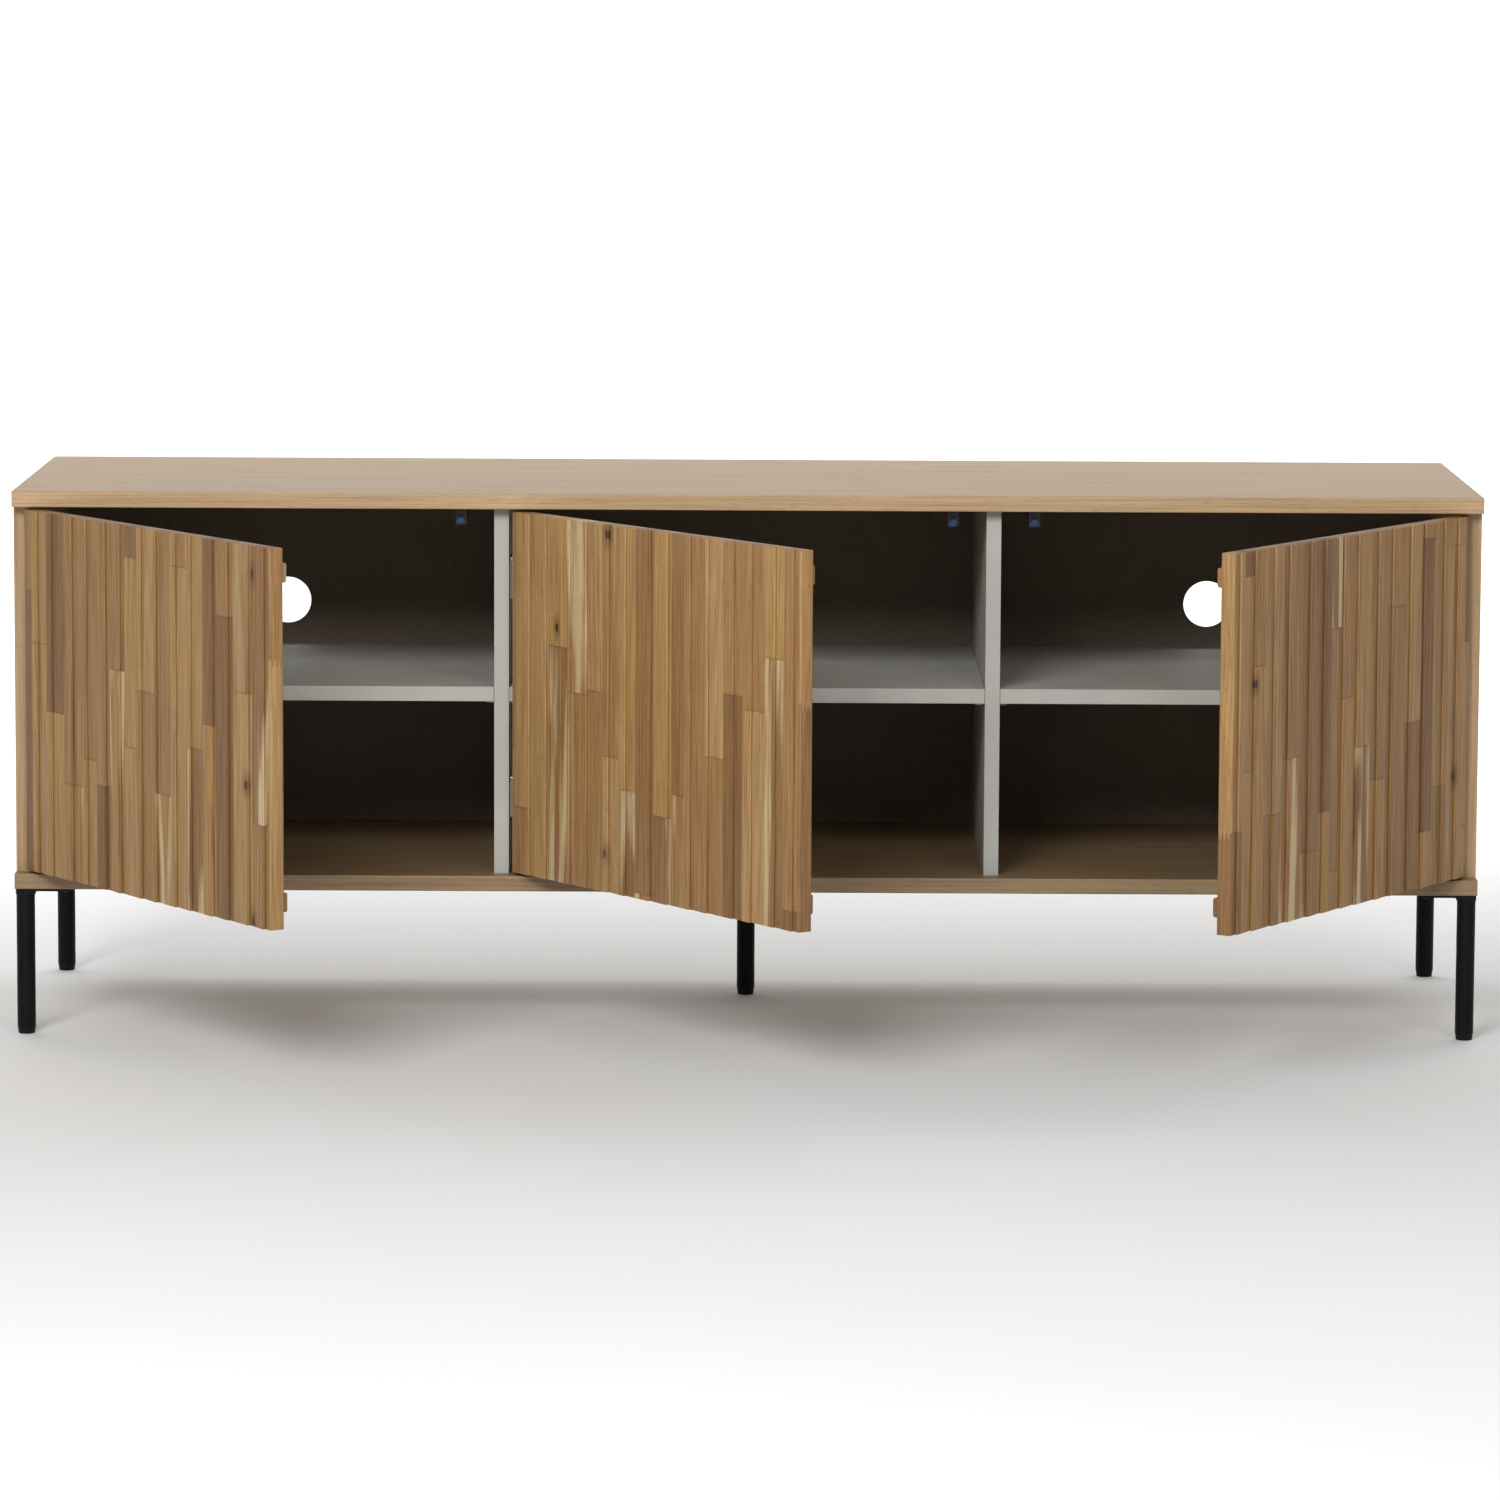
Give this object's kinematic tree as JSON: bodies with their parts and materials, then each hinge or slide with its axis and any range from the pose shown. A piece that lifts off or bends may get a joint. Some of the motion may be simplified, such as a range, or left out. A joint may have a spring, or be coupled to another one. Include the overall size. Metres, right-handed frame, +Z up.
{
  "type": "media cabinet",
  "caption": "Low oak media cabinet on steel tube legs, with hinged slatted doors over shelved compartments with cable holes.",
  "frame": {"origin": "on the floor, below the middle of the footprint that the cabinet has with its doors part open, as stored", "axes": "+X to the viewer's right along the cabinet's width, +Y to its back, +Z up"},
  "size_m": [1.5, 0.8442, 0.56],
  "materials": {
    "oak_board": "satin lacquered oak",
    "oak_staves": "oiled finger-jointed oak",
    "oak_batten": "sanded oak",
    "beech_dowel": "raw fluted beech",
    "grey_lacquer": "matt grey lacquer on board",
    "dark_back_board": "dark brown hardboard",
    "black_steel": "matt black powder coat",
    "black_plastic": "moulded",
    "clear_plastic": "clear moulded",
    "magnet_steel": "blued magnet face",
    "nickel_steel": "nickel plated",
    "zinc_steel": "zinc plated",
    "black_screw": "black zinc"
  },
  "bodies": {
    "cabinet": {"top_board": "oak_board", "bottom_board": "oak_board", "side_panel_left": "oak_board", "divider_left": "grey_lacquer", "side_panel_right": "oak_board", "divider_right": "grey_lacquer", "shelf_left": "grey_lacquer", "shelf_middle": "grey_lacquer", "shelf_right": "grey_lacquer", "back_panel_left": "dark_back_board", "back_panel_middle": "dark_back_board", "back_panel_right": "dark_back_board", "leg_front_left": "black_steel", "leg_front_right": "black_steel", "leg_rear_left": "black_steel", "leg_rear_right": "black_steel", "leg_middle": "black_steel", "foot_glides": "black_plastic", "leg_screws": "black_screw", "shelf_pegs": "clear_plastic", "panel_dowels": "beech_dowel", "cam_discs": "zinc_steel", "cam_bolts": "zinc_steel", "back_panel_screws": "zinc_steel", "hinge_plates": "nickel_steel", "hinge_arms": "nickel_steel", "hinge_plate_screws": "nickel_steel", "latch_screws": "zinc_steel", "latch_body_left": "black_plastic", "latch_body_middle": "black_plastic", "latch_body_right": "black_plastic"},
    "door_left": {"door_panel_left": "oak_staves", "batten_upper_left": "oak_batten", "batten_lower_left": "oak_batten", "hinge_cups_left": "nickel_steel", "door_screws_left": "zinc_steel", "strike_plate_left": "zinc_steel"},
    "hinge_link_left": {"hinge_links_left": "nickel_steel"},
    "plunger_left": {"latch_plunger_left": "black_plastic", "latch_magnet_left": "magnet_steel"},
    "door_middle": {"door_panel_middle": "oak_staves", "batten_upper_middle": "oak_batten", "batten_lower_middle": "oak_batten", "hinge_cups_middle": "nickel_steel", "door_screws_middle": "zinc_steel", "strike_plate_middle": "zinc_steel"},
    "hinge_link_middle": {"hinge_links_middle": "nickel_steel"},
    "plunger_middle": {"latch_plunger_middle": "black_plastic", "latch_magnet_middle": "magnet_steel"},
    "door_right": {"door_panel_right": "oak_staves", "batten_upper_right": "oak_batten", "batten_lower_right": "oak_batten", "hinge_cups_right": "nickel_steel", "door_screws_right": "zinc_steel", "strike_plate_right": "zinc_steel"},
    "hinge_link_right": {"hinge_links_right": "nickel_steel"},
    "plunger_right": {"latch_plunger_right": "black_plastic", "latch_magnet_right": "magnet_steel"}
  },
  "joints": [
    {"name": "link_turn_left", "type": "hinge", "parent": "cabinet", "child": "hinge_link_left", "pos_m": [-0.7045, 0.02309, 0.3555], "axis": [0, 0, 1], "range_deg": [-25.57, 15.04]},
    {"name": "door_open_left", "type": "hinge", "parent": "hinge_link_left", "child": "door_left", "pos_m": [-0.72087, -0.01272, 0.3555], "axis": [0, 0, -1], "range_deg": [-80.77, 46.84]},
    {"name": "plunger_push_left", "type": "slide", "parent": "cabinet", "child": "plunger_left", "axis": [0, 1, 0], "range_m": [0, 0.004], "stiffness_N_per_m": 400, "springref_m": -0.002},
    {"name": "link_turn_middle", "type": "hinge", "parent": "cabinet", "child": "hinge_link_middle", "pos_m": [-0.206, 0.02309, 0.3555], "axis": [0, 0, 1], "range_deg": [-24.93, 15.66]},
    {"name": "door_open_middle", "type": "hinge", "parent": "hinge_link_middle", "child": "door_middle", "pos_m": [-0.22276, -0.01254, 0.3555], "axis": [0, 0, -1], "range_deg": [-78.73, 48.87]},
    {"name": "plunger_push_middle", "type": "slide", "parent": "cabinet", "child": "plunger_middle", "axis": [0, 1, 0], "range_m": [0, 0.004], "stiffness_N_per_m": 400, "springref_m": -0.002},
    {"name": "link_turn_right", "type": "hinge", "parent": "cabinet", "child": "hinge_link_right", "pos_m": [0.7045, 0.02309, 0.3555], "axis": [0, 0, -1], "range_deg": [-26.11, 14.49]},
    {"name": "door_open_right", "type": "hinge", "parent": "hinge_link_right", "child": "door_right", "pos_m": [0.72053, -0.01287, 0.3555], "axis": [0, 0, 1], "range_deg": [-82.5, 45.09]},
    {"name": "plunger_push_right", "type": "slide", "parent": "cabinet", "child": "plunger_right", "axis": [0, 1, 0], "range_m": [0, 0.004], "stiffness_N_per_m": 400, "springref_m": -0.002}
  ],
  "couplings": [
    {"joint": "link_turn_left", "follows": "door_open_left", "ratio": 0.31034},
    {"joint": "link_turn_middle", "follows": "door_open_middle", "ratio": 0.31034},
    {"joint": "link_turn_right", "follows": "door_open_right", "ratio": 0.31034}
  ]
}
